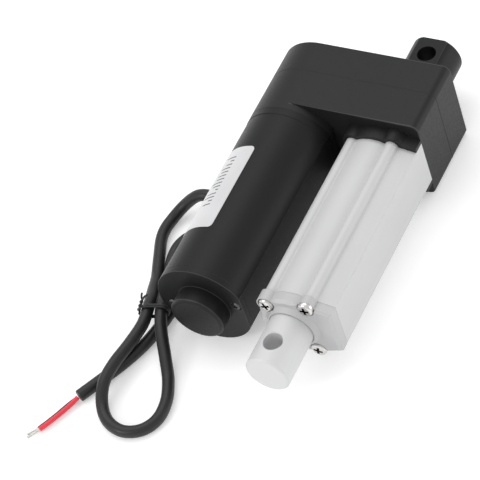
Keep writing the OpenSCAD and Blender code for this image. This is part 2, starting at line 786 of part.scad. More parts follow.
module rear_plunger() {
    color([0.80, 0.20, 0.15]) rod_y(plunger_x, 0, plunger_r, tab_y[1] + plunger_gap, rear_switch_y[0] + 2.8);
}

// ---------- Leads, label, gland and power cord ----------

module motor_leads() {
    color([0.70, 0.10, 0.10]) for (a = [188, 172])
        rod_y(-motor_x + lead_r * cos(a), lead_r * sin(a), lead_d / 2, can_y[0] - 4, gland_y);
}

module switch_lead() {
    color([0.12, 0.12, 0.13]) tube_path(smooth(switch_route, 2), lead_d, 8);
}

module label() {
    corner = 2;
    color([0.85, 0.85, 0.86]) intersection() {
        at_motor() tube_y(0, 0, cover_r + label_t, cover_r, label_y[0], label_y[1]);
        translate([0, 0, 3]) linear_extrude(height = 30) union() {
            translate([-70, label_y[0]]) square([label_x - corner + 70, label_y[1] - label_y[0]]);
            translate([-70, label_y[0] + corner])
                square([label_x + 70, label_y[1] - label_y[0] - 2 * corner]);
            for (y = [label_y[0] + corner, label_y[1] - corner])
                translate([label_x - corner, y]) circle(r = corner);
        }
    }
}

module cable_gland() {
    taper = -motor_x - cover_r - gland_tip_x;
    color([0.10, 0.10, 0.10]) translate([gland_tip_x, gland_y, gland_z]) rotate([0, 90, 0]) {
        cylinder(r1 = cord_d / 2 + 0.7, r2 = gland_r - 0.6, h = taper);
        translate([0, 0, taper]) cylinder(r = gland_r - 0.05, h = 3.4);
    }
}

module power_cord() {
    color([0.09, 0.09, 0.10]) tube_path(laid(cord_route, 2), cord_d, 10);
}

module stadium(half, r) {
    for (side = [-1, 1]) translate([side * half, 0]) circle(r = r);
    translate([-half, -r]) square([2 * half, 2 * r]);
}

module stick(a, b, r) {
    d = b - a;
    translate(a) rotate([0, acos(d[2] / norm(d)), atan2(d[1], d[0])]) cylinder(r = r, h = norm(d));
}

module cord_tie() {
    r = cord_d / 2 + tie_gap;
    color([0.06, 0.06, 0.06]) translate(tie_place) rotate([0, 0, tie_turn]) {
        for (y = [-1.6, 0.4]) along_y(y, y + 1.2) difference() {
            stadium(tie_half, r + tie_t);
            stadium(tie_half, r);
        }
        translate(tie_root) sphere(r = 1);
        stick(tie_root, tie_fork, 0.8);
        translate(tie_fork) sphere(r = 0.8);
        for (end = tie_ends) stick(tie_fork, end, 0.4);
    }
}

module wire(route, hue) {
    color(hue) tube_path(smooth(route, 2), wire_d, 8);
}

module strands(root, tip) {
    along = tip - root;
    color([0.80, 0.78, 0.72]) hull() {
        translate(root + 0.02 * along) sphere(r = 0.5, $fn = 12);
        translate(tip) sphere(r = 0.65, $fn = 12);
    }
}

module red_wire() {
    wire(red_route, [0.85, 0.15, 0.20]);
}

module black_wire() {
    wire(black_route, [0.08, 0.08, 0.09]);
}

module red_strands() {
    strands(red_route[len(red_route) - 1] + [-0.4, -0.7, -0.1], red_tip);
}

module black_strands() {
    strands(black_route[len(black_route) - 1] + [-0.5, -0.7, 0], black_tip);
}

gear_housing();
rear_cover();
cover_gasket();
cover_screws();
rear_clevis();
clevis_screw();
tube_profile();
profile_screws();
front_cap();
cap_screws();
rod_wiper();
rod_bushing();
motor_cover();
motor_end_cap();
motor_cap_screws();
motor_can();
motor_front_plate();
motor_mount_screws();
motor_magnets();
brush_plate();
motor_brushes();
front_bush();
rear_bush();
rotor_shaft();
armature_core();
armature_windings();
commutator();
motor_pinion();
idler_axle();
idler_gear();
front_bearing();
rear_bearing();
lead_screw();
screw_gear();
push_rod();
lead_nut();
limit_board();
front_switch();
rear_switch();
front_plunger();
rear_plunger();
motor_leads();
switch_lead();
label();
cable_gland();
power_cord();
cord_tie();
red_wire();
black_wire();
red_strands();
black_strands();
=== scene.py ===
"""Looks of the linear actuator: materials, label, cord, rounded edges, screws, stage and light."""
import json
import math

import bmesh
import bpy
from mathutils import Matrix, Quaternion, Vector


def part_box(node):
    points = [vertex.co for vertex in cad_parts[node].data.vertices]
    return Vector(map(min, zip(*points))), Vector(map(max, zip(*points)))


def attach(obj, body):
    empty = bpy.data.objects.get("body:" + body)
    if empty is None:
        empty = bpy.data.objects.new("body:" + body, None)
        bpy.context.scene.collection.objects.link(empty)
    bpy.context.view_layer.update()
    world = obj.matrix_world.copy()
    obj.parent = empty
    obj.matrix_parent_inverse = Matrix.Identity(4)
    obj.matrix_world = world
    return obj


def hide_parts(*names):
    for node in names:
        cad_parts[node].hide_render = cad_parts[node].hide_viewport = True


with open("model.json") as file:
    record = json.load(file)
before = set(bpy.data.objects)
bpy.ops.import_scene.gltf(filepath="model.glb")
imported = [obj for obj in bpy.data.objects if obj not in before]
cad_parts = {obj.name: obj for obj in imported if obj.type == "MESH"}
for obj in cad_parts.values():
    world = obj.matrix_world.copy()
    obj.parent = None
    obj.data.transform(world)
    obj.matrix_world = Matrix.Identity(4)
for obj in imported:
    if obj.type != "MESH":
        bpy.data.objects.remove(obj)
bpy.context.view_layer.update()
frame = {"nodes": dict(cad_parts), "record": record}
NODES = frame["nodes"]
RECORD = frame["record"]
SLOT_OF = {s["node"]: s["material_slot"] for s in RECORD["subparts"]}
BODY_OF = {n: body for body, nodes in RECORD["behaviour"]["bodies"].items() for n in nodes}
MM = 0.001
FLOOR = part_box("rear_cover")[0].z

# ---------- Camera ----------

AIM = Vector((-40.6, -105.6, 0)) * MM
DISTANCE = 1.2553
AZIMUTH = 41.28
ELEVATION = 48.08
ROLL = -20.76
LENS = 231.06


def make_camera():
    data = bpy.data.cameras.new("camera")
    data.lens, data.sensor_width = LENS, 36
    data.clip_start, data.clip_end = 0.05, 20
    camera = bpy.data.objects.new("camera", data)
    bpy.context.scene.collection.objects.link(camera)
    a, e = math.radians(AZIMUTH), math.radians(ELEVATION)
    back = Vector((math.sin(a) * math.cos(e), -math.cos(a) * math.cos(e), math.sin(e)))
    camera.location = AIM + back * DISTANCE
    camera.rotation_mode = "QUATERNION"
    turn = Quaternion((0, 0, 1), math.radians(ROLL))
    camera.rotation_quaternion = (-back).to_track_quat("-Z", "Y") @ turn
    bpy.context.scene.camera = camera


make_camera()

# ---------- Materials ----------


def node_material(name):
    """A material with its Principled shader, and a function that adds nodes to it."""
    mat = bpy.data.materials.new(name)
    mat.use_nodes = True
    tree = mat.node_tree
    shader = tree.nodes["Principled BSDF"]

    def add(kind, inputs=None, **settings):
        node = tree.nodes.new(kind)
        for key, value in settings.items():
            setattr(node, key, value)
        for key, value in (inputs or {}).items():
            if isinstance(value, bpy.types.NodeSocket):
                tree.links.new(value, node.inputs[key])
            else:
                node.inputs[key].default_value = value
        return node

    return mat, tree, shader, add


def rgba(color, factor=1.0):
    return (*(min(1.0, c * factor) for c in color), 1.0)


MATERIALS = {}
NOISE_SPAN = {"From Min": 0.3, "From Max": 0.7}


def surface(
    name, color, rough, metal=0.0, grain=900.0, stretch=(1, 1, 1), tint=0.08, rough_spread=0.08,
    bump=0.15, depth=0.02 * MM, blotch=40.0, blotch_tint=0.05, **sockets,
):
    """Color, roughness and height that vary with a fine grain, and a shade that varies in broad blotches."""
    mat, tree, shader, add = node_material(name)
    place = add("ShaderNodeTexCoord").outputs["Object"]
    scaled = add("ShaderNodeMapping", {"Vector": place, "Scale": stretch}).outputs["Vector"]
    fine = add("ShaderNodeTexNoise", {"Vector": scaled, "Scale": grain, "Detail": 4.0, "Roughness": 0.6})
    broad = add("ShaderNodeTexNoise", {"Vector": place, "Scale": blotch, "Detail": 2.0, "Roughness": 0.5})
    shade = add(
        "ShaderNodeMix",
        {0: fine.outputs["Fac"], 6: rgba(color, 1 - tint), 7: rgba(color, 1 + tint)},
        data_type="RGBA",
    )
    level = add(
        "ShaderNodeMapRange",
        {"Value": broad.outputs["Fac"], **NOISE_SPAN, "To Min": 1 - blotch_tint, "To Max": 1 + blotch_tint},
    )
    patch = add(
        "ShaderNodeMix",
        {0: 1.0, 6: shade.outputs[2], 7: level.outputs["Result"]},
        data_type="RGBA", blend_type="MULTIPLY",
    )
    tree.links.new(patch.outputs[2], shader.inputs["Base Color"])
    smoothest, roughest = rough - rough_spread, rough + rough_spread
    rough_map = add(
        "ShaderNodeMapRange",
        {"Value": fine.outputs["Fac"], **NOISE_SPAN, "To Min": smoothest, "To Max": roughest},
    )
    tree.links.new(rough_map.outputs["Result"], shader.inputs["Roughness"])
    relief = add("ShaderNodeBump", {"Height": fine.outputs["Fac"], "Strength": bump, "Distance": depth})
    tree.links.new(relief.outputs["Normal"], shader.inputs["Normal"])
    shader.inputs["Metallic"].default_value = metal
    for key, value in sockets.items():
        shader.inputs[key.replace("_", " ")].default_value = value
    MATERIALS[name] = mat


surface("black_casting", (0.0125, 0.0125, 0.0129), 0.46, grain=1400, bump=0.5, blotch=25,
        Specular_IOR_Level=0.26)
surface("black_plastic", (0.009, 0.009, 0.0093), 0.42, grain=1500, bump=0.35, blotch=25,
        Specular_IOR_Level=0.22)
surface("aluminium_profile", (0.58, 0.58, 0.585), 0.6, metal=0.3, grain=2200, stretch=(1, 0.02, 1),
        tint=0.03, bump=0.12, blotch_tint=0.015)
surface("aluminium_cap", (0.50, 0.50, 0.505), 0.6, metal=0.3, grain=1800, tint=0.03, bump=0.3,
        blotch_tint=0.015)
surface("aluminium_rod", (0.63, 0.63, 0.635), 0.6, metal=0.25, grain=1500, stretch=(1, 0.1, 1), tint=0.02,
        bump=0.1, blotch_tint=0.015)
surface("steel", (0.56, 0.57, 0.58), 0.3, metal=1.0, grain=1500, stretch=(1, 0.1, 1))
surface("screw_steel", (0.66, 0.65, 0.64), 0.24, metal=1.0, grain=1200, bump=0.1)
surface("dark_screw", (0.10, 0.10, 0.104), 0.35, metal=0.9, grain=1200, bump=0.2)
surface("rubber", (0.014, 0.014, 0.0142), 0.6, grain=1500, bump=0.4, Specular_IOR_Level=0.3)
surface("bronze", (0.60, 0.42, 0.22), 0.4, metal=1.0, grain=1500, bump=0.3)
surface("copper", (0.72, 0.34, 0.16), 0.3, metal=1.0, grain=2500, stretch=(1, 0.05, 1))
surface("lamination", (0.35, 0.35, 0.36), 0.4, metal=1.0, grain=2500, stretch=(0.05, 1, 0.05))
surface("ferrite", (0.07, 0.07, 0.075), 0.55, grain=1600, bump=0.4)
surface("acetal", (0.80, 0.79, 0.74), 0.38, grain=1200, bump=0.1)
surface("carbon", (0.04, 0.038, 0.036), 0.5, grain=2000, bump=0.4)
surface("board_green", (0.02, 0.16, 0.05), 0.3, grain=900, bump=0.1)
surface("switch_plastic", (0.03, 0.03, 0.033), 0.4, grain=1400)
surface("plunger_red", (0.60, 0.05, 0.04), 0.35, grain=1200)
surface("label_grey", (0.62, 0.62, 0.63), 0.45, grain=1000, tint=0.02, bump=0.05)
surface("cord_black", (0.014, 0.014, 0.0146), 0.42, grain=1100, bump=0.35, blotch=60,
        Specular_IOR_Level=0.42)
surface("wire_red", (0.80, 0.035, 0.06), 0.4, grain=1100, tint=0.05)
surface("wire_black", (0.018, 0.018, 0.019), 0.4, grain=1100)
surface("tinned", (0.70, 0.69, 0.66), 0.3, metal=1.0, grain=2000)


def color_over(mat, share, color):
    """Mix a color over a material's own, by a socket that gives its share."""
    tree = mat.node_tree
    base = tree.nodes["Principled BSDF"].inputs["Base Color"]
    mix = tree.nodes.new("ShaderNodeMix")
    mix.data_type = "RGBA"
    tree.links.new(share, mix.inputs[0])
    tree.links.new(base.links[0].from_socket, mix.inputs[6])
    mix.inputs[7].default_value = color
    tree.links.new(mix.outputs[2], base)


def shade_marked(mat, mark_name, shade):
    """Another shade on the faces that an attribute marks: painted shade in a screw's recess, or a painted
    highlight along a casting's rounded edges.
    """
    mark = mat.node_tree.nodes.new("ShaderNodeAttribute")
    mark.attribute_name = mark_name
    color_over(mat, mark.outputs["Fac"], (shade, shade, shade, 1))


# Painted shade: the screws darken the walls and floor of their cross recesses, where shade falls.
shade_marked(MATERIALS["screw_steel"], "recess", 0.06)
shade_marked(MATERIALS["dark_screw"], "recess", 0.02)
# Painted highlight: the black castings and plastics are lighter on the faces of their rounded edges and
# fillets.
shade_marked(MATERIALS["black_casting"], "painted_edge_highlight", 0.045)
shade_marked(MATERIALS["black_plastic"], "painted_edge_highlight", 0.04)

# The label's bars lie side by side along the motor, and each starts at the same angle round its axis.
MOTOR_X = (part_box("motor_can")[0].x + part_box("motor_can")[1].x) / 2
BARS_Y = (-104.2 * MM, -76.6 * MM)
BAR_COUNT = 14
BAR_PITCH = (BARS_Y[1] - BARS_Y[0]) / BAR_COUNT
BAR_SHARE = 0.3
BARS_START = math.radians(118)
SHORTEST_BAR = math.radians(5)
BAR_SPREAD = math.radians(16)
BAR_COLOR = (0.06, 0.06, 0.065, 1)


def add_label_bars(mat):
    """A column of plain bars of different lengths, along one side of the label."""
    tree = mat.node_tree

    def math_node(operation, *values):
        node = tree.nodes.new("ShaderNodeMath")
        node.operation = operation
        for socket, value in zip(node.inputs, values):
            if isinstance(value, bpy.types.NodeSocket):
                tree.links.new(value, socket)
            else:
                socket.default_value = value
        return node.outputs[0]

    place = tree.nodes.new("ShaderNodeTexCoord").outputs["Object"]
    split = tree.nodes.new("ShaderNodeSeparateXYZ")
    tree.links.new(place, split.inputs[0])
    angle = math_node("ARCTAN2", split.outputs["Z"], math_node("ADD", split.outputs["X"], -MOTOR_X))
    row = math_node("DIVIDE", math_node("SUBTRACT", split.outputs["Y"], BARS_Y[0]), BAR_PITCH)
    chance = tree.nodes.new("ShaderNodeTexWhiteNoise")
    chance.noise_dimensions = "1D"
    tree.links.new(math_node("FLOOR", row), chance.inputs["W"])
    bar_end = math_node("MULTIPLY_ADD", chance.outputs["Value"], BAR_SPREAD, BARS_START + SHORTEST_BAR)
    mask = math_node("LESS_THAN", math_node("FRACT", row), BAR_SHARE)
    for test in (
        math_node("GREATER_THAN", row, 0.0),
        math_node("LESS_THAN", row, float(BAR_COUNT)),
        math_node("GREATER_THAN", angle, BARS_START),
        math_node("LESS_THAN", angle, bar_end),
    ):
        mask = math_node("MULTIPLY", mask, test)
    color_over(mat, mask, BAR_COLOR)


add_label_bars(MATERIALS["label_grey"])

# ---------- Pieces ----------


def piece(name, mesh, node):
    """A new object on the node's body, with the node's material, that stands for the node."""
    obj = bpy.data.objects.new(name, mesh)
    bpy.context.scene.collection.objects.link(obj)
    mesh.materials.clear()
    mesh.materials.append(MATERIALS[SLOT_OF[node]])
    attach(obj, BODY_OF[node])
    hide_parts(node)
    return obj


def smooth_by_angle(bm, degrees=32):
    for f in bm.faces:
        f.smooth = True
    for e in bm.edges:
        e.smooth = e.calc_face_angle(math.pi) < math.radians(degrees)


def soft_normals(obj):
    mod = obj.modifiers.new("normals", "WEIGHTED_NORMAL")
    mod.keep_sharp = True
    mod.weight = 60


def mesh_from(bm, name):
    mesh = bpy.data.meshes.new(name)
    bm.to_mesh(mesh)
    bm.free()
    return mesh


def loft(bm, rings):
    """Skin over rings that have the same number of points each, closed at both ends."""
    loops = [[bm.verts.new(p) for p in ring] for ring in rings]
    sides = len(loops[0])
    for a, b in zip(loops, loops[1:]):
        for j in range(sides):
            k = (j + 1) % sides
            bm.faces.new((a[j], a[k], b[k], b[j]))
    bm.faces.new(loops[0][::-1])
    bm.faces.new(loops[-1])


UP = Vector((0, 0, 1))


def ring_at(center, across, up, radius, sides):
    return [
        center + radius * (math.cos(a) * across + math.sin(a) * up)
        for a in (2 * math.pi * (j + 0.5) / sides for j in range(sides))
    ]


def sweep(bm, path, radius, sides, chamfer):
    """Round tube along a path, with its two ends chamfered."""
    rings = []
    last = len(path) - 1
    across = None
    for i, p in enumerate(path):
        t = (path[min(i + 1, last)] - path[max(i - 1, 0)]).normalized()
        if across is None:
            across = t.cross(UP) if abs(t.z) < 0.9 else Vector((1, 0, 0))
        across = (across - t * across.dot(t)).normalized()
        up = across.cross(t)
        if i == 0:
            rings.append(ring_at(p, across, up, radius - chamfer, sides))
            p = p + t * chamfer
        if i == last:
            rings.append(ring_at(p - t * chamfer, across, up, radius, sides))
            rings.append(ring_at(p, across, up, radius - chamfer, sides))
        else:
            rings.append(ring_at(p, across, up, radius, sides))
    loft(bm, rings)


def spline(points, n):
    """Smooth line through the points, n steps for each stretch."""
    last = len(points) - 1
    line = []
    for i in range(last):
        a, b, c, d = points[max(i - 1, 0)], points[i], points[i + 1], points[min(i + 2, last)]
        for t in (k / n for k in range(n)):
            line.append(0.5 * (2 * b + (c - a) * t + (2 * a - 5 * b + 4 * c - d) * t**2
                               + (3 * b - a - 3 * c + d) * t**3))
    return line + [points[-1]]


def tube(name, node, paths, radius, sides, chamfer):
    """A piece made of one round tube for each path."""
    bm = bmesh.new()
    for path in paths:
        sweep(bm, path, radius, sides, chamfer)
    bmesh.ops.recalc_face_normals(bm, faces=bm.faces)
    smooth_by_angle(bm)
    return piece(name, mesh_from(bm, name), node)


def twisted(start, end, count, radius, turns, steps):
    """Paths of strands twisted round the line from start to end. Of three or more, one is in the middle."""
    axis = (end - start).normalized()
    across = axis.cross(UP).normalized()
    up = axis.cross(across)
    paths = [[start + (end - start) * (i / steps) for i in range(steps + 1)]] if count > 2 else []
    around = count - len(paths)
    for k in range(around):
        path = []
        for i in range(steps + 1):
            a = 2 * math.pi * (k / around + turns * i / steps)
            off = radius * (math.cos(a) * across + math.sin(a) * up)
            path.append(start + (end - start) * (i / steps) + off)
        paths.append(path)
    return paths


# ---------- Power cord, its wires and its tie ----------

# Routes and sizes are in mm. FLAT is the height of the middle of a cord that lies on the floor.
CORD_R = 2.6
FLAT = FLOOR / MM + CORD_R
CORD_ROUTE = [
    (-67, -81.5, -8.4), (-71.9, -81.6, -8.6), (-76.2, -82.2, -10.6), (-81.5, -84.6, -15.1),
    (-85.3, -90.7, -18.3), (-85.6, -99.3, FLAT), (-82, -109.5, FLAT), (-78, -119.6, FLAT),
    (-74.3, -129.1, FLAT + 3), (-70.7, -138.2, FLAT + 6.2), (-69.1, -147.8, FLAT + 5.9),
    (-70.2, -158.4, FLAT + 5.6), (-71.9, -169.7, FLAT + 5.7), (-72.2, -178.8, FLAT + 4.5),
    (-69.7, -186.9, FLAT + 1), (-64, -192.9, FLAT), (-56.1, -195.3, FLAT), (-48.7, -192.6, FLAT),
    (-44.7, -185.9, FLAT), (-45.2, -176.8, FLAT), (-49, -167.4, FLAT),
    (-54.2, -158.3, FLAT + 2.8), (-59.7, -149.1, FLAT + 5.6), (-64.3, -139.8, FLAT + 6.3),
    (-67.5, -130.4, FLAT + 4.5), (-71.3, -121.4, FLAT + 0.8), (-75.1, -112.1, FLAT),
    (-76, -103, FLAT), (-72.5, -96.1, FLAT), (-65.6, -93.3, FLAT), (-58.7, -96, FLAT),
    (-55.2, -103, FLAT), (-55.8, -112.8, FLAT), (-58.8, -123, FLAT), (-63.2, -133, FLAT),
    (-64.8, -143.3, FLAT), (-67.2, -153.7, FLAT), (-71.4, -164.3, FLAT), (-76.6, -174.3, FLAT),
    (-82.2, -184.6, FLAT),
]
WIRE_R = 0.98
WIRE_Z = FLOOR / MM + 1
# The red wire crosses over the black one.
RED_LIFT = 1.4
RED_ROUTE = [
    (-82, -185.6, FLAT + 0.7), (-83.1, -188.3, FLAT + 0.2), (-84.5, -191.1, WIRE_Z + RED_LIFT),
    (-86.2, -195, WIRE_Z + RED_LIFT), (-88.3, -199.4, WIRE_Z + RED_LIFT),
    (-90.8, -204, WIRE_Z + RED_LIFT),
]
BLACK_ROUTE = [
    (-83, -184.9, FLAT - 1.1), (-84.6, -187.2, WIRE_Z + 0.1), (-86, -190, WIRE_Z),
    (-87.6, -193.8, WIRE_Z), (-89.7, -198.2, WIRE_Z), (-92.2, -203, WIRE_Z),
]
RED_TIP = Vector((-94.7, -208.3, FLOOR / MM + 1.1)) * MM
BLACK_TIP = Vector((-95.6, -206.9, FLOOR / MM + 0.7)) * MM
STRANDS = 7
STRAND_R = 0.2
STRAND_RING = 0.4
# The tie's points are about its own center, turned with the two runs of cord that it holds.
TIE_CENTER = Vector((-67.1, -140.7, FLAT + 6.35)) * MM
TIE_TURN = math.radians(16)
TIE_HALF = 3.05
TIE_WIRE_R = 0.42
TIE_GAP = 0.75
TIE_WIDTH = 1.8
TIE_ROOT = (-6.6, 0, 0.3)
TIE_FORK = (-4, 1.9, 5.6)
TIE_ENDS = ((-3.6, 3.2, 8.1), (-1.2, 2.1, 8.1))


def in_metres(points):
    return [Vector(p) * MM for p in points]


def make_cord():
    """The jacket and its path, kept from dipping under the floor between the points."""
    path = spline(in_metres(CORD_ROUTE), 6)
    for p in path:
        p.z = max(p.z, FLAT * MM)
    return tube("power_cord_jacket", "power_cord", [path], CORD_R * MM, sides=24, chamfer=0.25 * MM), path


def make_wire(name, node, route):
    return tube(name, node, [spline(in_metres(route), 6)], WIRE_R * MM, sides=16, chamfer=0.1 * MM)


def make_strands(name, node, route, tip):
    """Bare strands from just inside the end of a wire's insulation to their tip."""
    before, root = in_metres(route[-2:])
    start = root - (root - before).normalized() * 0.4 * MM
    paths = twisted(start, tip, STRANDS, STRAND_RING * MM, turns=0.8, steps=14)
    return tube(name, node, paths, STRAND_R * MM, sides=8, chamfer=0.05 * MM)


def tie_point(x, y, z):
    c, s = math.cos(TIE_TURN), math.sin(TIE_TURN)
    return TIE_CENTER + Vector((x * c - y * s, x * s + y * c, z)) * MM


def make_tie():
    """Two wraps of paper-covered wire round two runs of the cord, and the two ends twisted together."""
    r = CORD_R + TIE_GAP
    wraps = 2
    steps = 40
    coil = []
    for i in range(wraps * steps + 1):
        a = math.pi + 2 * math.pi * i / steps
        side = max(-1, min(1, 1.6 * math.cos(a)))
        along = TIE_WIDTH * (i / (wraps * steps) - 0.5)
        coil.append(tie_point(r * math.cos(a) + TIE_HALF * side, along, r * math.sin(a)))
    plait = twisted(tie_point(*TIE_ROOT), tie_point(*TIE_FORK), 2, TIE_WIRE_R * MM, turns=1.5, steps=30)
    for path, tip in zip(plait, TIE_ENDS):
        end = tie_point(*tip)
        bend = path[-1] + (end - path[-1]) * 0.4 + UP * 0.5 * MM
        path += spline([path[-1], bend, end], 4)[1:]
    return tube("twist_tie", "cord_tie", [coil] + plait, TIE_WIRE_R * MM, sides=10, chamfer=0.1 * MM)


def lathe(bm, profile, center, axis, sides=40):
    """Turn a profile of (distance along the axis, radius) in mm about an axis through center."""
    across = axis.orthogonal().normalized()
    up = axis.cross(across)
    loft(bm, [ring_at(center + axis * (t * MM), across, up, r * MM, sides) for t, r in profile])


GROOVES = 4
GROOVE_PITCH = 1.25
GROOVE_WIDTH = 0.5
GROOVE_DEPTH = 0.3
GLAND_R = 3.3
GLAND_TAPER = 0.12
GLAND_FOOT_R = 4.3
GLAND_FOOT = 5.7


def make_gland():
    """Strain relief that narrows towards the cord, with grooves round it and a thicker foot in the cover."""
    low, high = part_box("cable_gland")
    center = Vector((low.x, (low.y + high.y) / 2, (low.z + high.z) / 2))
    wall = 0.05
    profile = [(0, 3.05), (0.15, 3.25)]
    for k in range(GROOVES):
        t = 0.7 + GROOVE_PITCH * k
        r = GLAND_R + GLAND_TAPER * k
        profile += [
            (t, r), (t + wall, r - GROOVE_DEPTH), (t + GROOVE_WIDTH - wall, r - GROOVE_DEPTH),
            (t + GROOVE_WIDTH, r + 0.02),
        ]
    profile += [(GLAND_FOOT, 3.75), (GLAND_FOOT + wall, GLAND_FOOT_R), ((high.x - low.x) / MM, GLAND_FOOT_R)]
    bm = bmesh.new()
    lathe(bm, profile, center, Vector((1, 0, 0)))
    bmesh.ops.recalc_face_normals(bm, faces=bm.faces)
    smooth_by_angle(bm)
    return piece("strain_relief", mesh_from(bm, "strain_relief"), "cable_gland")


cord, cord_path = make_cord()
on_cord = [
    make_wire("red_insulation", "red_wire", RED_ROUTE),
    make_wire("black_insulation", "black_wire", BLACK_ROUTE),
    make_strands("red_wire_strands", "red_strands", RED_ROUTE, RED_TIP),
    make_strands("black_wire_strands", "black_strands", BLACK_ROUTE, BLACK_TIP),
    make_tie(),
    make_gland(),
]

# ---------- Rounded castings, caps and rod ----------

SHARP = math.radians(25)


def rounded_copy(name, node, rules):
    """A copy of a CAD node with its sharp edges rounded, inside the node's box.

    A rule is (width in mm, segments, test of an edge's middle in mm), and a fourth value keeps the bevel
    from being marked for the painted edge highlight.
    """
    bm = bmesh.new()
    bm.from_mesh(NODES[node].data)
    bmesh.ops.remove_doubles(bm, verts=bm.verts, dist=0.002 * MM)
    bmesh.ops.dissolve_limit(bm, angle_limit=math.radians(0.5), verts=bm.verts, edges=bm.edges)
    # The bevel faces are marked for a painted highlight, which the black materials show as a lighter colour.
    painted_edge_highlight = bm.faces.layers.float.new("painted_edge_highlight")
    for width, segments, test, *plain in rules:
        edges = [
            e for e in bm.edges
            if len(e.link_faces) == 2 and e.calc_face_angle(0) > SHARP
            and test((e.verts[0].co + e.verts[1].co) / 2 / MM)
        ]
        shaped = bmesh.ops.bevel(
            bm, geom=edges, offset=width * MM, offset_type="OFFSET", segments=segments, profile=0.5,
            affect="EDGES", clamp_overlap=test not in UNCLAMPED,
        )
        for f in shaped["faces"]:
            f[painted_edge_highlight] = 0.0 if plain else 1.0
    low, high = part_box(node)
    for v in bm.verts:
        v.co = Vector(max(low[k], min(high[k], v.co[k])) for k in range(3))
    smooth_by_angle(bm)
    soft_normals(piece(name, mesh_from(bm, name), node))


def everywhere(p):
    return True


# Faces and radii in mm. The cap's face lies behind its collar, and the profile ends at the gearbox's front.
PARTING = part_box("rear_cover")[0].y / MM
CAP_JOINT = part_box("tube_profile")[0].y / MM
ROD_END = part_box("push_rod")[0].y / MM
COLLAR_R = 12.4
COLLAR_H = 2
CAP_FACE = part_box("front_cap")[0].y / MM + COLLAR_H
BOSS_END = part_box("motor_end_cap")[0].y / MM
BOX_FACES = (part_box("tube_profile")[1].y / MM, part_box("rear_cover")[1].y / MM)
BOX_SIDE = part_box("rear_cover")[1].x / MM
BOX_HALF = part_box("rear_cover")[1].z / MM
BOX_ROUND = 3.4
CAP_PORTS = [(-9.8, 10.1), (-9.8, -10.1), (8.3, 12.8), (8.3, -12.8)]
PORT_CLEAR = 5.2


def at_parting(p):
    return abs(p.y - PARTING) < 1


def off_parting(p):
    return not at_parting(p)


def at_cap_joint(p):
    return abs(p.y - CAP_JOINT) < 0.2


def off_cap_joint(p):
    return not at_cap_joint(p)


def at_rod_end(p):
    return p.y < ROD_END + 0.1


def at_cap_rim(p):
    """Outer edge of the cap's front face, away from the screws and the collar round the rod."""
    if abs(p.y - CAP_FACE) > 0.1 or math.hypot(p.x, p.z) < COLLAR_R:
        return False
    return all(math.hypot(p.x - x, p.z - z) > PORT_CLEAR for x, z in CAP_PORTS)


def at_box_rim(p):
    """Outer edges of the gearbox's front and rear faces."""
    if min(abs(p.y - y) for y in BOX_FACES) > 0.1:
        return False
    x, z = p.x - (BOX_SIDE - BOX_ROUND), abs(p.z) - (BOX_HALF - BOX_ROUND)
    if x > 0 and z > 0:
        return math.hypot(x, z) > BOX_ROUND - 0.1
    if p.x < MOTOR_X / MM:
        return math.hypot(p.x - MOTOR_X / MM, p.z) > BOX_HALF - 0.1
    return x > BOX_ROUND - 0.1 or z > BOX_ROUND - 0.1


def off_box_rim(p):
    return off_parting(p) and not at_box_rim(p)


def at_boss_rim(p):
    return p.y < BOSS_END + 0.1


def off_boss_rim(p):
    return not at_boss_rim(p)


# Rims that keep their full width where other edges end close to them.
UNCLAMPED = (at_cap_rim, at_box_rim, at_boss_rim)
ROUNDED = {
    "gear_housing": [(0.5, 3, at_box_rim), (0.3, 2, off_box_rim), (0.12, 1, at_parting)],
    "rear_cover": [(0.5, 3, at_box_rim), (0.3, 2, off_box_rim), (0.12, 1, at_parting)],
    "rear_clevis": [(0.35, 3, everywhere)],
    "tube_profile": [(0.25, 2, off_cap_joint), (0.3, 1, at_cap_joint)],
    "front_cap": [(1.3, 1, at_cap_rim), (0.3, 1, at_cap_joint), (0.2, 2, off_cap_joint)],
    "push_rod": [(0.45, 2, at_rod_end), (0.15, 2, everywhere)],
    "motor_cover": [(0.15, 2, everywhere)],
    "motor_end_cap": [(1.0, 4, at_boss_rim, "plain"), (0.3, 2, off_boss_rim)],
}

for node, rules in ROUNDED.items():
    rounded_copy("shaped_" + node, node, rules)


def proud_gasket(grow):
    """The gasket squeezed out by grow mm, until it nearly fills the parting line."""
    bm = bmesh.new()
    bm.from_mesh(NODES["cover_gasket"].data)
    bmesh.ops.remove_doubles(bm, verts=bm.verts, dist=0.002 * MM)
    for v in bm.verts:
        out = sum((f.normal for f in v.link_faces if abs(f.normal.y) < 0.5), Vector())
        v.co += out.normalized() * (grow * MM)
    smooth_by_angle(bm)
    soft_normals(piece("squeezed_gasket", mesh_from(bm, "squeezed_gasket"), "cover_gasket"))


proud_gasket(grow=0.32)

# ---------- Screws ----------


def solids_of(node):
    """The lowest and highest corners of each separate solid in a node."""
    bm = bmesh.new()
    bm.from_mesh(NODES[node].data)
    bmesh.ops.remove_doubles(bm, verts=bm.verts, dist=0.001 * MM)
    left = set(bm.verts)
    boxes = []
    while left:
        stack = [left.pop()]
        found = list(stack)
        while stack:
            for e in stack.pop().link_edges:
                for v in e.verts:
                    if v in left:
                        left.remove(v)
                        stack.append(v)
                        found.append(v)
        corners = [[pick(v.co[k] for v in found) for k in range(3)] for pick in (min, max)]
        boxes.append((Vector(corners[0]), Vector(corners[1])))
    bm.free()
    return sorted(boxes, key=lambda box: (round(box[0].x, 5), round(box[0].z, 5)))


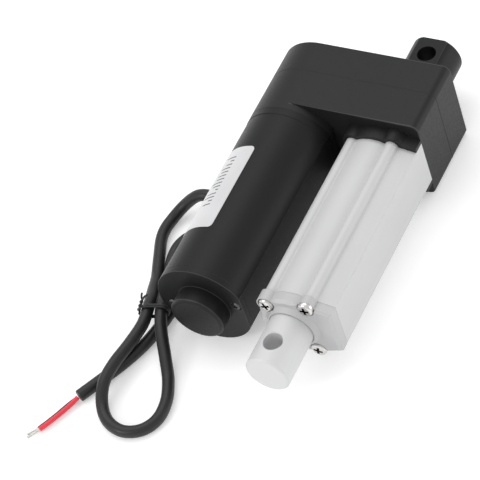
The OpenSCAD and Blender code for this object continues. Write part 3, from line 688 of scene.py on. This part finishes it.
def slot_cutter(bm, center, axis, size, depth, angle):
    """One pair of arms of a cross recess: a bar that narrows with depth, size to the end of an arm."""
    across = axis.orthogonal().normalized()
    u = across * math.cos(angle) + axis.cross(across) * math.sin(angle)
    v = axis.cross(u)
    corners = ((-1, -1), (1, -1), (1, 1), (-1, 1))
    rings = []
    for height, long, wide in ((0.3, 1.0, 0.27), (-0.4, 0.85, 0.24), (-1.0, 0.35, 0.18)):
        p = center + axis * (height * depth)
        rings.append([p + u * (long * size * a) + v * (wide * size * b) for a, b in corners])
    loft(bm, rings)


def cut(name, solid, cutters):
    """The solid less each cutter, as one mesh."""
    scene = bpy.context.scene.collection
    target = bpy.data.objects.new(name + "_blank", solid)
    scene.objects.link(target)
    tools = []
    for k, mesh in enumerate(cutters):
        tool = bpy.data.objects.new(f"{name}_tool_{k}", mesh)
        scene.objects.link(tool)
        tools.append(tool)
        mod = target.modifiers.new("cut", "BOOLEAN")
        mod.operation = "DIFFERENCE"
        mod.solver = "EXACT"
        mod.object = tool
    shaped = bpy.data.meshes.new_from_object(target.evaluated_get(bpy.context.evaluated_depsgraph_get()))
    for obj in tools + [target]:
        bpy.data.objects.remove(obj)
    return shaped


# A turned outline starts and ends this far from its axis, in mm.
TURNED_POINT = 0.02


def pan_screws(name, node, axis, head_r, head_h, shank, recess, angles):
    """Pan-head screws with a cross recess, sizes in mm. axis points out of the head."""
    blanks = bmesh.new()
    arms = [bmesh.new(), bmesh.new()]
    centers = []
    for (low, high), angle in zip(solids_of(node), angles):
        mid = (low + high) / 2
        top = high.y if axis.y > 0 else low.y
        end = low.y if axis.y > 0 else high.y
        center = Vector((mid.x, top, mid.z))
        centers.append(center)
        length = abs(end - top) / MM
        head = [
            (0, 0.3), (0.06, 0.55), (0.2, 0.76), (0.45, 0.92), (0.8, 0.99), (head_h * 0.6, 1),
            (head_h - 0.12, 0.985), (head_h, 0.94),
        ]
        outline = [(0, TURNED_POINT)] + [(t, head_r * share) for t, share in head]
        outline += [(head_h, shank), (length - 0.5, shank), (length, shank * 0.7), (length, TURNED_POINT)]
        lathe(blanks, [(-t, r) for t, r in outline], center, axis)
        for k, arm in enumerate(arms):
            slot_cutter(arm, center, axis, recess * MM, head_h * 0.85 * MM, math.radians(angle + 90 * k))
    for bm in [blanks] + arms:
        bmesh.ops.recalc_face_normals(bm, faces=bm.faces)
    mesh = cut(name, mesh_from(blanks, name), [mesh_from(bm, "arm") for bm in arms])
    bm = bmesh.new()
    bm.from_mesh(mesh)
    bmesh.ops.remove_doubles(bm, verts=bm.verts, dist=0.001 * MM)
    smooth_by_angle(bm, 40)
    obj = piece(name, mesh_from(bm, name), node)
    mark_recess_shade(obj.data, centers, axis, recess)


def mark_recess_shade(mesh, centers, axis, recess):
    """Mark the walls and floor of each recess with an attribute, for the screw materials to darken there as
    painted shade.
    """
    mark = mesh.attributes.new("recess", "FLOAT", "FACE")
    for f in mesh.polygons:
        for center in centers:
            away = (f.center - center) / MM
            deep = -away.dot(axis)
            inside = (away + axis * deep).length < recess * 1.05 and 0.1 < deep < 3
            wall = abs(f.normal.dot(axis)) < 0.6
            if inside and (wall or deep > 0.9):
                mark.data[f.index].value = 1.0


OUT_FRONT = Vector((0, -1, 0))
OUT_REAR = Vector((0, 1, 0))
pan_screws(
    "cap_pan_screws", "cap_screws", OUT_FRONT,
    head_r=3.4, head_h=2.2, shank=1.5, recess=2.15, angles=(20, 65, 35, 50),
)
pan_screws(
    "motor_pan_screws", "motor_cap_screws", OUT_FRONT,
    head_r=2.0, head_h=1.4, shank=1.2, recess=1.1, angles=(30, 70),
)
pan_screws(
    "cover_pan_screws", "cover_screws", OUT_REAR,
    head_r=2.8, head_h=1.8, shank=1.35, recess=1.6, angles=(15, 60, 40, 80),
)

for name, obj in NODES.items():
    obj.data.materials.clear()
    obj.data.materials.append(MATERIALS[SLOT_OF[name]])

# ---------- Stage and light ----------

FLOOR_SIDE = 6
FLOOR_SHADE = 0.84
FLOOR_GLOW = 0.34
WORLD_STRENGTH = 0.80


def make_stage():
    bpy.ops.mesh.primitive_plane_add(size=FLOOR_SIDE, location=(0, 0, FLOOR))
    floor = bpy.context.object
    floor.name = "floor"
    mat, _, shader, _ = node_material("floor_white")
    shader.inputs["Base Color"].default_value = (FLOOR_SHADE, FLOOR_SHADE, FLOOR_SHADE, 1)
    shader.inputs["Roughness"].default_value = 0.9
    shader.inputs["Specular IOR Level"].default_value = 0.1
    shader.inputs["Emission Color"].default_value = (1, 1, 1, 1)
    shader.inputs["Emission Strength"].default_value = FLOOR_GLOW
    floor.data.materials.append(mat)


def soft_box(name, place, size, power):
    """A rectangular lamp, in metres and watts, that faces the middle of the actuator."""
    data = bpy.data.lights.new(name, "AREA")
    data.shape = "RECTANGLE"
    data.size, data.size_y = size
    data.energy = power
    light = bpy.data.objects.new(name, data)
    light.location = place
    light.rotation_euler = (AIM - Vector(place)).to_track_quat("-Z", "Y").to_euler()
    bpy.context.scene.collection.objects.link(light)


def make_light():
    world = bpy.data.worlds.new("studio")
    world.use_nodes = True
    bpy.context.scene.world = world
    back = world.node_tree.nodes["Background"]
    back.inputs["Color"].default_value = (1, 1, 1, 1)
    back.inputs["Strength"].default_value = WORLD_STRENGTH
    soft_box("key", (-0.6, 0.4, 1.5), (1.6, 1.2), power=8)
    soft_box("side", (1.2, 0.6, 0.3), (0.9, 0.6), power=3)
    soft_box("rim", (-0.7, -1.25, 0.75), (0.45, 0.3), power=5)
    bpy.context.scene.view_settings.view_transform = "Standard"


make_stage()
make_light()
